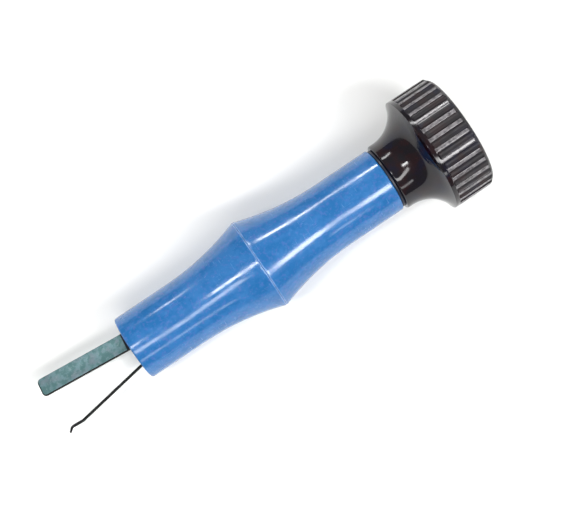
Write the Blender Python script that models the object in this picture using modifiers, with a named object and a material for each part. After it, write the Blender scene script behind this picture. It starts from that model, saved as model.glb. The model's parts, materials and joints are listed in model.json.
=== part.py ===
"""Clamp handle with a spudger blade and a hook probe held in its draw-in collet.

The tool lies on its side: +X runs from the blade to the knob, +Z is up and Z = 0 is the table.
Everything is modelled along the tool's own axis, where x = 0 is the handle's nose, and hangs on the
empty tool_axis, which gives the tool the small tilt that it has at rest on its ridge and its knob.
"""

import math

import bmesh
import bpy
from mathutils import Matrix, Vector

MM = 0.001
FIXED_GAP = 0.30 * MM      # between pieces that are pressed or glued together
RUNNING_GAP = 0.15 * MM    # between pieces that slide or turn in each other
CUT_EXTRA = 1.0 * MM       # how far a cutter runs past the surface that it opens

# handle: two flared mouldings that meet on the ridge
HANDLE_LENGTH = 76.0 * MM
END_RADIUS = 8.72 * MM
RIDGE_RADIUS = 12.45 * MM
RIDGE_X = HANDLE_LENGTH / 2
FLARE_LENGTH = 22.5 * MM
END_ROUNDING = 0.5 * MM
SPIGOT_RADIUS = 6.9 * MM
SPIGOT_LENGTH = 8.0 * MM
CORE_RADIUS = 5.7 * MM
FLANGE_DEPTH = 1.5 * MM

# nose sleeve with its inner taper, and the collet that it closes
SLEEVE_RADIUS = 7.0 * MM
SLEEVE_START = 0.3 * MM
SLEEVE_END = 13.7 * MM
COLLET_FACE_X = 0.3 * MM
COLLET_MOUTH_RADIUS = 5.85 * MM
COLLET_TAPER_END = 12.8 * MM
COLLET_WAIST_RADIUS = 4.3 * MM
COLLET_TAIL_RADIUS = 3.6 * MM
COLLET_TAIL_START = 13.2 * MM
COLLET_END = 25.0 * MM
SLIT_WIDTH = 1.0 * MM
SLIT_END = 12.9 * MM
SLIT_ROLL = math.radians(-12.0)

# guide bush, key pin, cross pin and spring
GUIDE_RADIUS = CORE_RADIUS - FIXED_GAP
GUIDE_START = 14.3 * MM
GUIDE_END = 37.2 * MM
GUIDE_WALL = 1.4 * MM
KEY_X = 15.5 * MM
KEY_RADIUS = 0.75 * MM
KEY_TIP = 2.6 * MM
DRAW_TRAVEL = 1.4 * MM
CROSS_PIN_X = 22.0 * MM
CROSS_PIN_RADIUS = 0.6 * MM
CROSS_PIN_LENGTH = 6.4 * MM
SPRING_RADIUS = 2.9 * MM
SPRING_WIRE_RADIUS = 0.35 * MM
SPRING_TURNS = 7
SPRING_POINTS_PER_TURN = 10

# draw bar, rear bush and washer
BAR_RADIUS = 2.0 * MM
BAR_START = 18.9 * MM
BAR_END = 90.0 * MM
BAR_BORE = BAR_RADIUS + RUNNING_GAP
REAR_BUSH_RADIUS = CORE_RADIUS - FIXED_GAP
REAR_BUSH_START = 64.0 * MM
REAR_FLANGE_RADIUS = 7.0 * MM
REAR_FLANGE_THICKNESS = 1.0 * MM
REAR_BUSH_END = HANDLE_LENGTH - FIXED_GAP
WASHER_RADIUS = 8.3 * MM
WASHER_GAP = 0.08 * MM
WASHER_SPACE = 0.85 * MM

# knob
KNOB_START = HANDLE_LENGTH + WASHER_SPACE
KNOB_END = 98.7 * MM
NECK_RADIUS = 9.18 * MM
NECK_END = 78.2 * MM
RIM_RADIUS = 15.82 * MM
RIM_START = 87.2 * MM
RIM_ROUNDING = 0.2 * MM
LIP_LENGTH = 0.8 * MM
RIM_CHAMFER = 1.1 * MM
KNOB_FLARE_ARC = 9.2 * MM
FLUTE_COUNT = 34
FLUTE_CUTTER_RADIUS = 0.85 * MM
FLUTE_DEPTH = 0.55 * MM
INSERT_RADIUS = 4.5 * MM
INSERT_START = 77.15 * MM
INSERT_END = 91.0 * MM

# blade and hook probe, held side by side in the collet's slit
BLADE_WIDTH = 4.8 * MM
BLADE_THICKNESS = 0.8 * MM
BLADE_REACH = 25.3 * MM
BLADE_HELD = 12.0 * MM
BLADE_OFFSET = 2.45 * MM
BLADE_ANGLE = math.radians(5.0)
BLADE_CORNER = 1.1 * MM
PROBE_RADIUS = 0.38 * MM
PROBE_STRAIGHT = 20.4 * MM
PROBE_HELD = 12.0 * MM
PROBE_OFFSET = -4.82 * MM
PROBE_ANGLE = math.radians(10.0)
HOOK_BACK_LENGTH = 3.1 * MM
HOOK_BACK_ANGLE = math.radians(-14.0)
HOOK_TIP_LENGTH = 1.4 * MM
HOOK_TIP_ANGLE = math.radians(33.0)

# facets
OUTER_SEGMENTS = 48
INNER_SEGMENTS = 24
PIN_SEGMENTS = 12
FLUTE_SEGMENTS = 8
FLARE_STEPS = 8
CORNER_STEPS = 4
SCREW_MERGE = 0.00001

# rest attitude: the tool stands on the ridge and on the rim's near edge, on a flat of each polygon
FACET_LOW = math.cos(math.pi / OUTER_SEGMENTS)
CREST_X = RIDGE_X - FIXED_GAP / 2
RIM_EDGE_X = RIM_START + RIM_ROUNDING
TILT = math.atan((RIM_RADIUS - RIDGE_RADIUS) * FACET_LOW / (RIM_EDGE_X - CREST_X))


def arc(centre_x, centre_r, radius, start_deg, end_deg, steps):
    """Points (x, r) on an arc, both ends included."""
    points = []
    for i in range(steps + 1):
        angle = math.radians(start_deg + (end_deg - start_deg) * i / steps)
        points.append((centre_x + radius * math.cos(angle), centre_r + radius * math.sin(angle)))
    return points


def collection(name):
    made = bpy.data.collections.new(name)
    bpy.context.scene.collection.children.link(made)
    return made


def material(name, colour, roughness, metallic=0.0):
    made = bpy.data.materials.new(name)
    made.use_nodes = True
    shader = made.node_tree.nodes["Principled BSDF"]
    shader.inputs["Base Color"].default_value = (*colour, 1.0)
    shader.inputs["Roughness"].default_value = roughness
    shader.inputs["Metallic"].default_value = metallic
    return made


def empty(name, parent=None, location=(0, 0, 0), rotation=(0, 0, 0)):
    made = bpy.data.objects.new(name, None)
    made.location = location
    made.rotation_euler = rotation
    made.parent = parent
    PARTS.objects.link(made)
    return made


def shade(mesh):
    mesh.shade_smooth()
    mesh.set_sharp_from_angle(angle=math.radians(35))


def turned(name, outline, parent, surface, segments):
    """A turned piece: outline is (x, r), along the outside from nose to knob and back in the bore.

    The piece's own Z axis becomes the tool's axis, and its lowest point is the middle of a facet.
    """
    phase = math.pi / segments
    mesh = bpy.data.meshes.new(name)
    points = [(r * math.cos(phase), r * math.sin(phase), x) for x, r in reversed(outline)]
    edges = [(i, i + 1) for i in range(len(points) - 1)]
    if outline[0][1] > 0:
        edges.append((len(points) - 1, 0))
    mesh.from_pydata(points, edges, [])
    made = bpy.data.objects.new(name, mesh)
    PARTS.objects.link(made)
    made.data.materials.append(surface)
    made.parent = parent
    made.rotation_euler = (0, math.radians(90), 0)
    screw = made.modifiers.new("turn", "SCREW")
    screw.axis = "Z"
    screw.angle = math.radians(360)
    screw.steps = segments
    screw.render_steps = segments
    screw.use_merge_vertices = True
    screw.merge_threshold = SCREW_MERGE
    return made


def rod_mesh(name, radius, start, end, segments):
    """A round rod along Z from start to end, as a mesh."""
    mesh = bpy.data.meshes.new(name)
    bm = bmesh.new()
    bmesh.ops.create_cone(
        bm,
        cap_ends=True,
        segments=segments,
        radius1=radius,
        radius2=radius,
        depth=end - start,
        matrix=Matrix.Translation((0, 0, (start + end) / 2)),
    )
    bm.to_mesh(mesh)
    bm.free()
    return mesh


def rod(name, radius, start, end, parent, location, rotation, surface):
    made = bpy.data.objects.new(name, rod_mesh(name, radius, start, end, PIN_SEGMENTS))
    PARTS.objects.link(made)
    made.data.materials.append(surface)
    made.parent = parent
    made.location = location
    made.rotation_euler = rotation
    shade(made.data)
    return made


def cut(target, cutter):
    """Take the cutter's shape out of the target."""
    cutter.hide_render = True
    cutter.display_type = "WIRE"
    CUTTERS.objects.link(cutter)
    modifier = target.modifiers.new(cutter.name, "BOOLEAN")
    modifier.operation = "DIFFERENCE"
    modifier.solver = "EXACT"
    modifier.object = cutter


def rod_cutter(name, radius, start, end, parent, location, rotation):
    made = bpy.data.objects.new(name, rod_mesh(name, radius, start, end, PIN_SEGMENTS))
    made.parent = parent
    made.location = location
    made.rotation_euler = rotation
    return made


def box_cutter(name, low, high, parent):
    mesh = bpy.data.meshes.new(name)
    bm = bmesh.new()
    size = Vector(high) - Vector(low)
    centre = (Vector(high) + Vector(low)) / 2
    bmesh.ops.create_cube(bm, size=1.0, matrix=Matrix.Translation(centre) @ Matrix.Diagonal((*size, 1.0)))
    bm.to_mesh(mesh)
    bm.free()
    made = bpy.data.objects.new(name, mesh)
    made.parent = parent
    return made


def handle_flare():
    """Outer points of the front half, from the straight grip up to the ridge."""
    rise = RIDGE_RADIUS - END_RADIUS
    radius = (FLARE_LENGTH**2 + rise**2) / (2 * rise)
    points = []
    for i in range(FLARE_STEPS + 1):
        along = FLARE_LENGTH * i / FLARE_STEPS
        lift = radius - math.sqrt(radius**2 - along**2)
        points.append((CREST_X - FLARE_LENGTH + along, END_RADIUS + lift))
    return points


def mirrored(points):
    """The same outline on the other side of the ridge."""
    return [(2 * RIDGE_X - x, r) for x, r in reversed(points)]


def make_front_handle(parent):
    rounding = arc(END_ROUNDING, END_RADIUS - END_ROUNDING, END_ROUNDING, 180, 90, CORNER_STEPS)
    sleeve_bore = SLEEVE_RADIUS + FIXED_GAP
    outline = [(0, sleeve_bore)] + rounding + handle_flare()
    outline += [
        (CREST_X, SPIGOT_RADIUS),
        (RIDGE_X + SPIGOT_LENGTH, SPIGOT_RADIUS),
        (RIDGE_X + SPIGOT_LENGTH, CORE_RADIUS),
        (SLEEVE_END + FIXED_GAP, CORE_RADIUS),
        (SLEEVE_END + FIXED_GAP, sleeve_bore),
    ]
    surface = material("front_handle", (0.055, 0.22, 0.60), 0.32)
    return turned("front_handle", outline, parent, surface, OUTER_SEGMENTS)


def make_rear_handle(parent):
    rounding = arc(END_ROUNDING, END_RADIUS - END_ROUNDING, END_ROUNDING, 180, 90, CORNER_STEPS)
    socket = SPIGOT_RADIUS + FIXED_GAP
    socket_end = RIDGE_X + SPIGOT_LENGTH + FIXED_GAP
    flange_bore = REAR_FLANGE_RADIUS + FIXED_GAP
    flange_seat = HANDLE_LENGTH - FLANGE_DEPTH
    outline = [(RIDGE_X + FIXED_GAP / 2, socket)] + mirrored(rounding + handle_flare())
    outline += [
        (HANDLE_LENGTH, flange_bore),
        (flange_seat, flange_bore),
        (flange_seat, CORE_RADIUS),
        (socket_end, CORE_RADIUS),
        (socket_end, socket),
    ]
    surface = material("rear_handle", (0.055, 0.22, 0.60), 0.32)
    return turned("rear_handle", outline, parent, surface, OUTER_SEGMENTS)


def make_nose_sleeve(parent):
    mouth = COLLET_MOUTH_RADIUS + RUNNING_GAP
    waist = COLLET_WAIST_RADIUS + RUNNING_GAP
    outline = [
        (SLEEVE_START, mouth),
        (SLEEVE_START, SLEEVE_RADIUS),
        (SLEEVE_END, SLEEVE_RADIUS),
        (SLEEVE_END, waist),
        (COLLET_TAPER_END, waist),
    ]
    surface = material("nose_sleeve", (0.42, 0.43, 0.44), 0.30, 1.0)
    return turned("nose_sleeve", outline, parent, surface, INNER_SEGMENTS)


def make_collet(parent, clamp_plane):
    tail_bore_start = BAR_START - FIXED_GAP
    outline = [
        (COLLET_FACE_X, 0),
        (COLLET_FACE_X, COLLET_MOUTH_RADIUS),
        (COLLET_TAPER_END, COLLET_WAIST_RADIUS),
        (COLLET_TAIL_START, COLLET_TAIL_RADIUS),
        (COLLET_END, COLLET_TAIL_RADIUS),
        (COLLET_END, BAR_BORE),
        (tail_bore_start, BAR_BORE),
        (tail_bore_start, 0),
    ]
    surface = material("collet", (0.33, 0.34, 0.35), 0.35, 1.0)
    collet = turned("collet", outline, parent, surface, INNER_SEGMENTS)

    half = SLIT_WIDTH / 2
    reach = COLLET_MOUTH_RADIUS + CUT_EXTRA
    low = (COLLET_FACE_X - CUT_EXTRA, -reach, -half)
    high = (SLIT_END, reach, half)
    cut(collet, box_cutter("slit_cutter", low, high, clamp_plane))

    side = KEY_RADIUS + RUNNING_GAP
    low = (KEY_X - side, -side, KEY_TIP - FIXED_GAP)
    high = (KEY_X + DRAW_TRAVEL + side, side, COLLET_TAIL_RADIUS + CUT_EXTRA)
    cut(collet, box_cutter("keyway_cutter", low, high, parent))
    cut(collet, cross_hole_cutter("collet_cross_hole", COLLET_TAIL_RADIUS + CUT_EXTRA, parent))
    return collet


def cross_hole_cutter(name, reach, parent):
    """The hole across the collet's tail and the draw bar that takes the cross pin."""
    radius = CROSS_PIN_RADIUS + RUNNING_GAP
    turn = (math.radians(90), 0, 0)
    return rod_cutter(name, radius, -reach, reach, parent, (CROSS_PIN_X, 0, 0), turn)


def make_collet_pin(parent):
    surface = material("collet_pin", (0.50, 0.50, 0.50), 0.35, 1.0)
    half = CROSS_PIN_LENGTH / 2
    turn = (math.radians(90), 0, 0)
    return rod("collet_pin", CROSS_PIN_RADIUS, -half, half, parent, (CROSS_PIN_X, 0, 0), turn, surface)


def make_draw_bar(parent):
    outline = [(BAR_START, 0), (BAR_START, BAR_RADIUS), (BAR_END, BAR_RADIUS), (BAR_END, 0)]
    surface = material("draw_bar", (0.45, 0.45, 0.46), 0.35, 1.0)
    bar = turned("draw_bar", outline, parent, surface, INNER_SEGMENTS)
    cut(bar, cross_hole_cutter("bar_cross_hole", BAR_RADIUS + CUT_EXTRA, parent))
    return bar


def make_guide_bush(parent):
    inside = COLLET_TAIL_RADIUS + RUNNING_GAP
    outline = [
        (GUIDE_START, inside),
        (GUIDE_START, GUIDE_RADIUS),
        (GUIDE_END, GUIDE_RADIUS),
        (GUIDE_END, BAR_BORE),
        (GUIDE_END - GUIDE_WALL, BAR_BORE),
        (GUIDE_END - GUIDE_WALL, inside),
    ]
    surface = material("guide_bush", (0.62, 0.48, 0.20), 0.35, 1.0)
    bush = turned("guide_bush", outline, parent, surface, INNER_SEGMENTS)
    radius = KEY_RADIUS + RUNNING_GAP
    reach = GUIDE_RADIUS + CUT_EXTRA
    cut(bush, rod_cutter("key_hole_cutter", radius, 0, reach, parent, (KEY_X, 0, 0), (0, 0, 0)))
    return bush


def make_key_pin(parent):
    surface = material("key_pin", (0.50, 0.50, 0.50), 0.35, 1.0)
    return rod("key_pin", KEY_RADIUS, KEY_TIP, GUIDE_RADIUS, parent, (KEY_X, 0, 0), (0, 0, 0), surface)


def make_return_spring(parent):
    """A round-wire coil between the collet's tail and the guide bush's end wall."""
    start = COLLET_END + FIXED_GAP + SPRING_WIRE_RADIUS
    length = GUIDE_END - GUIDE_WALL - FIXED_GAP - SPRING_WIRE_RADIUS - start
    count = SPRING_TURNS * SPRING_POINTS_PER_TURN
    curve = bpy.data.curves.new("return_spring", "CURVE")
    curve.dimensions = "3D"
    curve.bevel_depth = SPRING_WIRE_RADIUS
    curve.bevel_resolution = 1
    curve.use_fill_caps = True
    spline = curve.splines.new("POLY")
    spline.points.add(count)
    for i, point in enumerate(spline.points):
        angle = math.tau * i / SPRING_POINTS_PER_TURN
        y = SPRING_RADIUS * math.cos(angle)
        z = SPRING_RADIUS * math.sin(angle)
        point.co = (start + length * i / count, y, z, 1.0)
    made = bpy.data.objects.new("return_spring", curve)
    PARTS.objects.link(made)
    made.data.materials.append(material("return_spring", (0.40, 0.40, 0.42), 0.3, 1.0))
    made.parent = parent
    return made


def make_rear_bush(parent):
    flange_start = REAR_BUSH_END - REAR_FLANGE_THICKNESS
    outline = [
        (REAR_BUSH_START, BAR_BORE),
        (REAR_BUSH_START, REAR_BUSH_RADIUS),
        (flange_start, REAR_BUSH_RADIUS),
        (flange_start, REAR_FLANGE_RADIUS),
        (REAR_BUSH_END, REAR_FLANGE_RADIUS),
        (REAR_BUSH_END, BAR_BORE),
    ]
    surface = material("rear_bush", (0.62, 0.48, 0.20), 0.35, 1.0)
    return turned("rear_bush", outline, parent, surface, INNER_SEGMENTS)


def make_thrust_washer(parent):
    start = HANDLE_LENGTH + WASHER_GAP
    end = KNOB_START - WASHER_GAP
    bore = INSERT_RADIUS
    outline = [(start, bore), (start, WASHER_RADIUS), (end, WASHER_RADIUS), (end, bore)]
    surface = material("thrust_washer", (0.012, 0.014, 0.035), 0.45)
    return turned("thrust_washer", outline, parent, surface, OUTER_SEGMENTS)


def knob_flare():
    """Outer points of the knob, from the straight neck out to the rim's near corner."""
    lift_end = RIM_RADIUS - RIM_ROUNDING - NECK_RADIUS
    end_deg = -90 + math.degrees(math.acos(1 - lift_end / KNOB_FLARE_ARC))
    return arc(NECK_END, NECK_RADIUS + KNOB_FLARE_ARC, KNOB_FLARE_ARC, -90, end_deg, FLARE_STEPS)


def flute_cutters(parent):
    """One object with a rod for each flute, from the plain lip out past the knob's end, a land at the top."""
    mesh = bpy.data.meshes.new("flute_cutters")
    bm = bmesh.new()
    start = RIM_EDGE_X + LIP_LENGTH
    end = KNOB_END + CUT_EXTRA
    radius = RIM_RADIUS - FLUTE_DEPTH + FLUTE_CUTTER_RADIUS
    for i in range(FLUTE_COUNT):
        turn = Matrix.Rotation(math.tau * (i + 0.5) / FLUTE_COUNT, 4, "Z")
        bmesh.ops.create_cone(
            bm,
            cap_ends=True,
            segments=FLUTE_SEGMENTS,
            radius1=FLUTE_CUTTER_RADIUS,
            radius2=FLUTE_CUTTER_RADIUS,
            depth=end - start,
            matrix=turn @ Matrix.Translation((radius, 0, (start + end) / 2)),
        )
    bm.to_mesh(mesh)
    bm.free()
    made = bpy.data.objects.new("flute_cutters", mesh)
    made.parent = parent
    made.rotation_euler = (0, math.radians(90), 0)
    return made


def make_knob(parent):
    bore = INSERT_RADIUS + FIXED_GAP
    bore_end = INSERT_END + FIXED_GAP
    edge = arc(KNOB_START + END_ROUNDING, NECK_RADIUS - END_ROUNDING, END_ROUNDING, 180, 90, CORNER_STEPS)
    outline = [(bore_end, 0), (bore_end, bore), (KNOB_START, bore)] + edge + knob_flare()
    outline += [
        (RIM_EDGE_X, RIM_RADIUS),
        (RIM_EDGE_X + LIP_LENGTH / 2, RIM_RADIUS),
        (KNOB_END - RIM_CHAMFER, RIM_RADIUS),
        (KNOB_END, RIM_RADIUS - RIM_CHAMFER),
        (KNOB_END, 0),
    ]
    surface = material("knob", (0.012, 0.010, 0.014), 0.18)
    knob = turned("knob", outline, parent, surface, OUTER_SEGMENTS)
    cut(knob, flute_cutters(parent))
    return knob


def make_knob_insert(parent):
    outline = [
        (INSERT_START, BAR_BORE),
        (INSERT_START, INSERT_RADIUS),
        (INSERT_END, INSERT_RADIUS),
        (INSERT_END, BAR_BORE),
    ]
    surface = material("knob_insert", (0.66, 0.50, 0.20), 0.3, 1.0)
    return turned("knob_insert", outline, parent, surface, INNER_SEGMENTS)


def make_blade(parent):
    """A flat strip with a round-cornered tip; its own -X points out of the nose."""
    half = BLADE_WIDTH / 2
    tip = -BLADE_REACH
    outline = [(BLADE_HELD, -half), (BLADE_HELD, half)]
    outline += arc(tip + BLADE_CORNER, half - BLADE_CORNER, BLADE_CORNER, 90, 180, CORNER_STEPS)
    outline += arc(tip + BLADE_CORNER, BLADE_CORNER - half, BLADE_CORNER, 180, 270, CORNER_STEPS)
    curve = bpy.data.curves.new("blade", "CURVE")
    curve.dimensions = "2D"
    curve.fill_mode = "BOTH"
    curve.extrude = BLADE_THICKNESS / 2
    spline = curve.splines.new("POLY")
    spline.points.add(len(outline) - 1)
    for point, (x, y) in zip(spline.points, outline):
        point.co = (x, y, 0, 1.0)
    spline.use_cyclic_u = True
    made = bpy.data.objects.new("blade", curve)
    PARTS.objects.link(made)
    made.data.materials.append(material("blade", (0.26, 0.32, 0.32), 0.42, 0.85))
    made.parent = parent
    return made


def make_hook_probe(parent):
    """A straight wire with a small double bend at its tip; its own -X points out of the nose."""
    points = [Vector((PROBE_HELD, 0, 0)), Vector((0, 0, 0)), Vector((-PROBE_STRAIGHT, 0, 0))]
    for length, angle in ((HOOK_BACK_LENGTH, HOOK_BACK_ANGLE), (HOOK_TIP_LENGTH, HOOK_TIP_ANGLE)):
        points.append(points[-1] + Vector((-length * math.cos(angle), -length * math.sin(angle), 0)))
    curve = bpy.data.curves.new("hook_probe", "CURVE")
    curve.dimensions = "3D"
    curve.bevel_depth = PROBE_RADIUS
    curve.bevel_resolution = 2
    curve.use_fill_caps = True
    spline = curve.splines.new("POLY")
    spline.points.add(len(points) - 1)
    for point, place in zip(spline.points, points):
        point.co = (*place, 1.0)
    made = bpy.data.objects.new("hook_probe", curve)
    PARTS.objects.link(made)
    made.data.materials.append(material("hook_probe", (0.05, 0.05, 0.06), 0.4, 0.9))
    made.parent = parent
    return made


def tip_and_end():
    """World X of the foremost and rearmost points, measured from the nose along the table."""
    flat = (BLADE_REACH - BLADE_CORNER) * math.cos(BLADE_ANGLE)
    flat += (BLADE_WIDTH / 2 - BLADE_CORNER) * math.sin(BLADE_ANGLE)
    drop = (BLADE_OFFSET + BLADE_REACH * math.sin(BLADE_ANGLE)) * math.sin(-SLIT_ROLL)
    front = -(flat + BLADE_CORNER) * math.cos(TILT) + drop * math.sin(TILT)
    edge = (RIM_RADIUS - RIM_CHAMFER) * FACET_LOW
    rear = KNOB_END * math.cos(TILT) + edge * math.sin(TILT)
    return front, rear


def build():
    front, rear = tip_and_end()
    nose_x = -(front + rear) / 2
    nose_z = RIDGE_RADIUS * FACET_LOW * math.cos(TILT) - CREST_X * math.sin(TILT)
    axis = empty("tool_axis", None, (nose_x, 0, nose_z), (0, -TILT, 0))
    clamp_plane = empty("clamp_plane", axis, (0, 0, 0), (SLIT_ROLL, 0, 0))
    blade_line = empty("blade_line", clamp_plane, (0, BLADE_OFFSET, 0), (0, 0, -BLADE_ANGLE))
    probe_line = empty("probe_line", clamp_plane, (0, PROBE_OFFSET, 0), (0, 0, PROBE_ANGLE))

    makers = (
        make_front_handle,
        make_rear_handle,
        make_nose_sleeve,
        make_guide_bush,
        make_key_pin,
        make_return_spring,
        make_collet_pin,
        make_draw_bar,
        make_rear_bush,
        make_thrust_washer,
        make_knob,
        make_knob_insert,
    )
    for make in makers:
        make(axis)
    make_collet(axis, clamp_plane)
    make_blade(blade_line)
    make_hook_probe(probe_line)


for old in list(bpy.data.objects):
    bpy.data.objects.remove(old, do_unlink=True)
PARTS = collection("spudger_tool")
CUTTERS = collection("cutters")
build()
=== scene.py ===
"""Looks of the clamp handle with its spudger blade and hook probe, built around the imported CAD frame."""

import json
import math

import bmesh
import bpy
from mathutils import Matrix, Vector


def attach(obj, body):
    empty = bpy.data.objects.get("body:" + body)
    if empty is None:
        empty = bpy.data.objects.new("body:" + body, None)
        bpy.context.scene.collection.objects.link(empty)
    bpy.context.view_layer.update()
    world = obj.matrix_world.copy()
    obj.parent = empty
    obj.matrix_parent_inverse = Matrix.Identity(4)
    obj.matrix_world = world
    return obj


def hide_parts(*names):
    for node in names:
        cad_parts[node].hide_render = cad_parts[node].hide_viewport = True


MM = 0.001

# camera: almost straight above, leaning towards the blade's end
CAMERA_AIM = Vector((5.327, -3.185, 12.0)) * MM
CAMERA_DISTANCE = 341.8 * MM
CAMERA_AZIMUTH = math.radians(-43.47)
CAMERA_ELEVATION = math.radians(82.11)
CAMERA_ROLL = math.radians(9.72)
CAMERA_LENS = 86.83


def look_from(name, aim, distance, azimuth, elevation, roll, lens):
    """A camera on a sphere round its aim: azimuth 0 looks along +Y, and roll turns it about its own view."""
    data = bpy.data.cameras.new(name)
    data.lens = lens
    data.clip_start = 0.01
    camera = bpy.data.objects.new(name, data)
    bpy.context.scene.collection.objects.link(camera)
    level = math.cos(elevation)
    back = Vector((math.sin(azimuth) * level, -math.cos(azimuth) * level, math.sin(elevation)))
    turn = back.to_track_quat("Z", "Y").to_matrix().to_4x4()
    camera.matrix_world = Matrix.Translation(aim + back * distance) @ turn @ Matrix.Rotation(roll, 4, "Z")
    bpy.context.scene.camera = camera


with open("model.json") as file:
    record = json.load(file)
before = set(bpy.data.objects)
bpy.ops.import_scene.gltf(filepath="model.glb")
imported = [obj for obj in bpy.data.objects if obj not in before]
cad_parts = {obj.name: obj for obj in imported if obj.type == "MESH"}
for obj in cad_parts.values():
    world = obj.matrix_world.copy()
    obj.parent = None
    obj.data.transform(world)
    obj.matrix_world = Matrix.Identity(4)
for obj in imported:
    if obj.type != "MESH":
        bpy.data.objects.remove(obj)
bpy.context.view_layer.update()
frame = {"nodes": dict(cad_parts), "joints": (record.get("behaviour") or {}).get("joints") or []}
look_from("camera", CAMERA_AIM, CAMERA_DISTANCE, CAMERA_AZIMUTH, CAMERA_ELEVATION, CAMERA_ROLL, CAMERA_LENS)

# ---------------------------------------------------------------- the tool's own frames

JOINTS = {joint["name"]: joint for joint in frame["joints"]}


def node_points(node):
    return [vertex.co for vertex in frame["nodes"][node].data.vertices]


def axes_frame(x_axis, z_hint, origin):
    """A frame with its X along x_axis and its Z as near to z_hint as it can be."""
    x = x_axis.normalized()
    y = z_hint.cross(x).normalized()
    z = x.cross(y)
    made = Matrix((x, y, z)).transposed().to_4x4()
    made.translation = origin
    return made


def span(node, place):
    """Lowest and highest corner of a CAD node, measured in the frame place."""
    inside = place.inverted()
    points = [inside @ point for point in node_points(node)]
    low = Vector([min(point[i] for point in points) for i in range(3)])
    high = Vector([max(point[i] for point in points) for i in range(3)])
    return low, high


def end_middle(node, place, depth):
    """Middle of a CAD node's end: of its points within depth of its highest x in the frame place."""
    inside = place.inverted()
    points = [inside @ point for point in node_points(node)]
    last = max(point.x for point in points)
    end = [point for point in points if point.x > last - depth]
    return sum(end, Vector((0, 0, 0))) / len(end)


def reach(node):
    """Largest distance of a CAD node from the tool's axis."""
    inside = TOOL.inverted()
    return max(math.hypot(*(inside @ point).yz) for point in node_points(node))


def flat_normal(node):
    """Upward normal of a CAD node's largest faces."""
    total = Vector((0, 0, 0))
    faces = frame["nodes"][node].data.polygons
    largest = max(face.area for face in faces)
    for face in faces:
        if face.normal.z > 0 and face.area > largest / 2:
            total += face.normal * face.area
    return total.normalized()


# TOOL: x runs along the turned handle from its nose end to the knob, z is up
knob_axis = Vector(JOINTS["knob_turn"]["axis"])
TOOL = axes_frame(knob_axis, Vector((0, 0, 1)), Vector(JOINTS["knob_turn"]["pos_m"]))
TOOL.translation = TOOL @ Vector((span("front_handle", TOOL)[0].x, 0, 0))

# BLADE and PROBE: x runs into the collet from the piece's tip, and 0 is its clamped end
CLAMP_UP = flat_normal("blade")
BLADE = axes_frame(-Vector(JOINTS["blade_slide"]["axis"]), CLAMP_UP, Vector((0, 0, 0)))
blade_low, blade_high = span("blade", BLADE)
blade_middle = (blade_low + blade_high) / 2
BLADE.translation = BLADE @ Vector((blade_high.x, blade_middle.y, blade_middle.z))
BLADE_LENGTH, BLADE_WIDTH, BLADE_THICKNESS = blade_high - blade_low

PROBE = axes_frame(-Vector(JOINTS["probe_slide"]["axis"]), CLAMP_UP, Vector((0, 0, 0)))
probe_low, probe_high = span("hook_probe", PROBE)
PROBE.translation = PROBE @ end_middle("hook_probe", PROBE, 0.1 * MM)
PROBE_RADIUS = (probe_high.z - probe_low.z) / 2

HANDLE_LENGTH = span("rear_handle", TOOL)[1].x
RIDGE_RADIUS = reach("front_handle")
RIDGE_X = HANDLE_LENGTH / 2
KNOB_START = span("knob", TOOL)[0].x
KNOB_END = span("knob", TOOL)[1].x
RIM_RADIUS = reach("knob") - 0.03 * MM
DRAW_TRAVEL = JOINTS["draw_slide"]["range_m"][1]

# sizes that the CAD boxes don't show: x from the nose end, and radii
RUNNING_GAP = 0.15 * MM
KEY_TIP_GAP = 0.30 * MM
END_RADIUS = 8.72 * MM
FLARE_LENGTH = 22.5 * MM
GRIP_BORE = 5.7 * MM
SEAT_RADIUS = 7.04 * MM
SLEEVE_SEAT_DEPTH = 14.0 * MM
FLANGE_SEAT_DEPTH = 1.5 * MM
SPIGOT_RADIUS = 7.0 * MM
SPIGOT_LENGTH = 7.9 * MM
SOCKET_RADIUS = 7.1 * MM
SOCKET_DEPTH = 8.2 * MM
JOINT_HALF_GAP = 0.02 * MM
WASHER_BORE = 4.5 * MM

NECK_RADIUS = 9.18 * MM
NECK_END = 78.2 * MM
KNOB_BORE = 4.55 * MM
KNOB_BORE_END = 91.3 * MM
KNOB_FLARE_ARC = 9.2 * MM
RIM_ROUNDING = 0.18 * MM
LIP_END = 88.0 * MM
RIM_CHAMFER = 1.1 * MM
FLUTE_COUNT = 34
FLUTE_DEPTH = 0.62 * MM
FLUTE_HALF_WIDTH = 0.33     # of the pitch
FLUTE_FULLNESS = 0.8        # 0.5 is a half ellipse, 1 a parabola
FLUTE_RUN_IN = 0.5 * MM
FLUTE_BLEND = 0.03 * MM
FACE_GROOVE_OUTER = 11.3 * MM
FACE_GROOVE_INNER = 9.9 * MM
FACE_GROOVE_SIDE = 0.4 * MM
FACE_GROOVE_DEPTH = 0.35 * MM
FACE_MARK_RADIUS = 1.3 * MM
FACE_MARK_DEPTH = 0.15 * MM

SLEEVE_RADIUS = 7.0 * MM
SLEEVE_MOUTH = 5.97 * MM
SLEEVE_WAIST = 4.42 * MM
SLEEVE_WAIST_LENGTH = 0.9 * MM
COLLET_MOUTH = 5.8 * MM
COLLET_WAIST = 4.28 * MM
COLLET_TAPER_END = 12.8 * MM
COLLET_TAIL_START = 13.2 * MM
COLLET_TAIL = 3.6 * MM
COLLET_TAIL_BORE = 2.15 * MM
COLLET_BORE_START = 18.6 * MM
SLIT_HALF_WIDTH = 0.5 * MM
SLIT_LEAD = 0.22 * MM
SLIT_END = 12.9 * MM

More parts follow.
